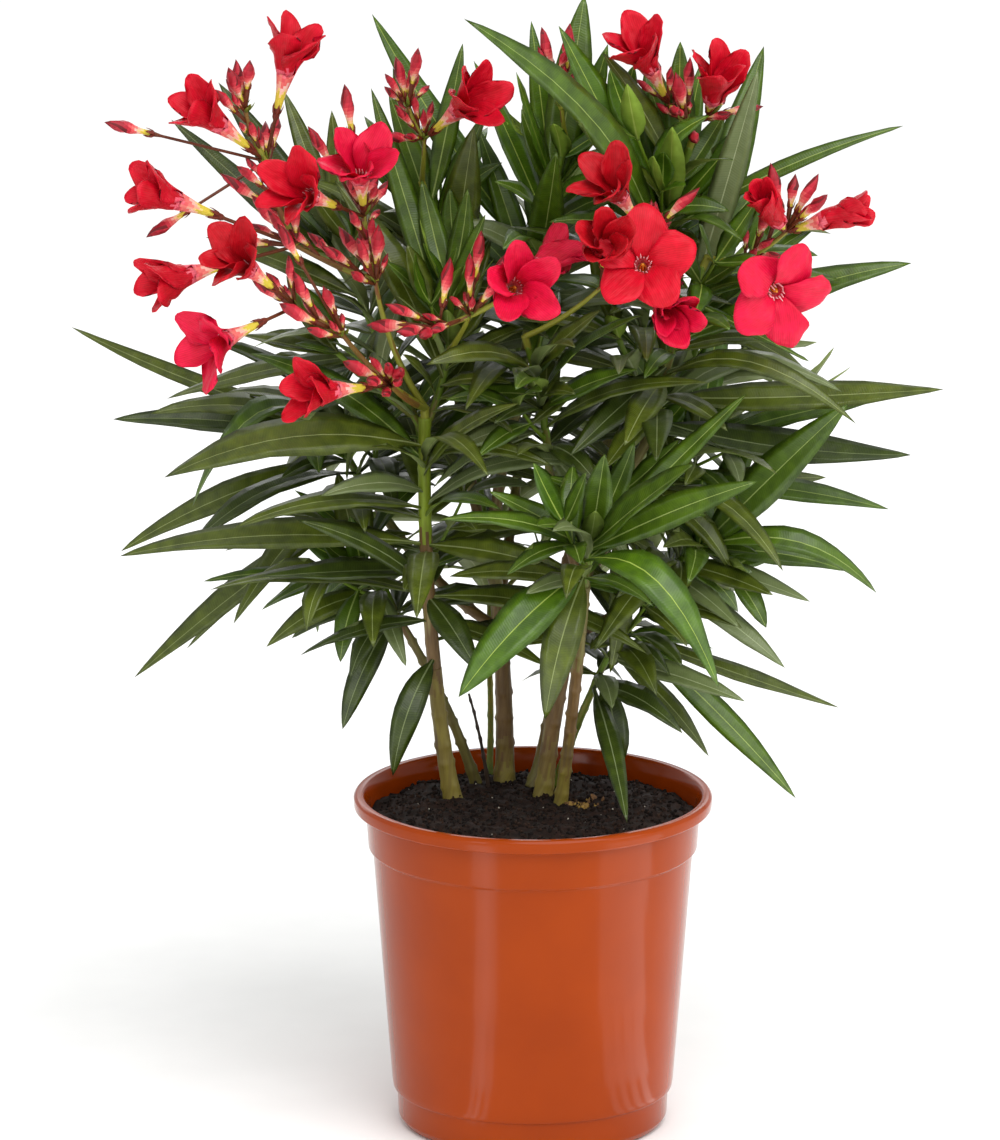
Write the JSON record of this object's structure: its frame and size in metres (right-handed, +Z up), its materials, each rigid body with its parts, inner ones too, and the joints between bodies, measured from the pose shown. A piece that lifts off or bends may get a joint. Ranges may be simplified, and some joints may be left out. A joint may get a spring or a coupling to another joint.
{
  "type": "potted oleander",
  "caption": "Flowering oleander shrub with several bare stems, long narrow leaves and open flower heads in a round plastic nursery pot.",
  "frame": {"origin": "centre of the pot's flat underside", "axes": "+Z straight up along the pot's axis, +X to the plant's right as seen from the front, +Y away from the front"},
  "size_m": [0.46, 0.3126, 0.6124],
  "materials": {
    "pot": "glossy moulded terracotta-coloured plastic",
    "compost": "dark moist peat with bark crumbs and perlite",
    "bark": "grey-brown young bark, matt, with pale pores and leaf scars",
    "green_bark": "green unripe shoot, slightly satin",
    "dead_wood": "dark dry twig",
    "leaf": "leathery green leaves with a pale midrib",
    "petal": "soft red petals, yellow and white tubes, green and dark red stalks"
  },
  "bodies": {
    "root": {"pot": "pot", "compost": "compost", "stem_left": "bark", "stem_middle": "bark", "stem_right": "bark", "stem_right_twin": "bark", "stem_thin": "bark", "stem_front": "bark", "side_shoot": "green_bark", "green_sucker": "green_bark", "dry_twig": "dead_wood", "bough_top_middle": "bark", "bough_top_left": "bark", "bough_left_rear": "bark", "bough_back_middle": "bark", "bough_top_right": "bark", "bough_back_right": "bark", "bough_right": "bark", "bough_centre": "bark", "bough_right_low": "bark", "leaves_left": "leaf", "left_low": "leaf", "left_rear": "leaf", "left_upper": "leaf", "left_crest": "leaf", "top_left": "leaf", "top_middle": "leaf", "top_right": "leaf", "right": "leaf", "right_mid": "leaf", "right_low": "leaf", "front_low": "leaf", "centre": "leaf", "right_foot": "leaf", "back_left": "leaf", "back_middle": "leaf", "back_right": "leaf", "flowers_left": "petal", "flowers_middle": "petal", "flowers_top_left": "petal", "flowers_top_middle": "petal", "flowers_top_right": "petal", "flowers_centre": "petal", "flowers_right": "petal"}
  },
  "joints": []
}
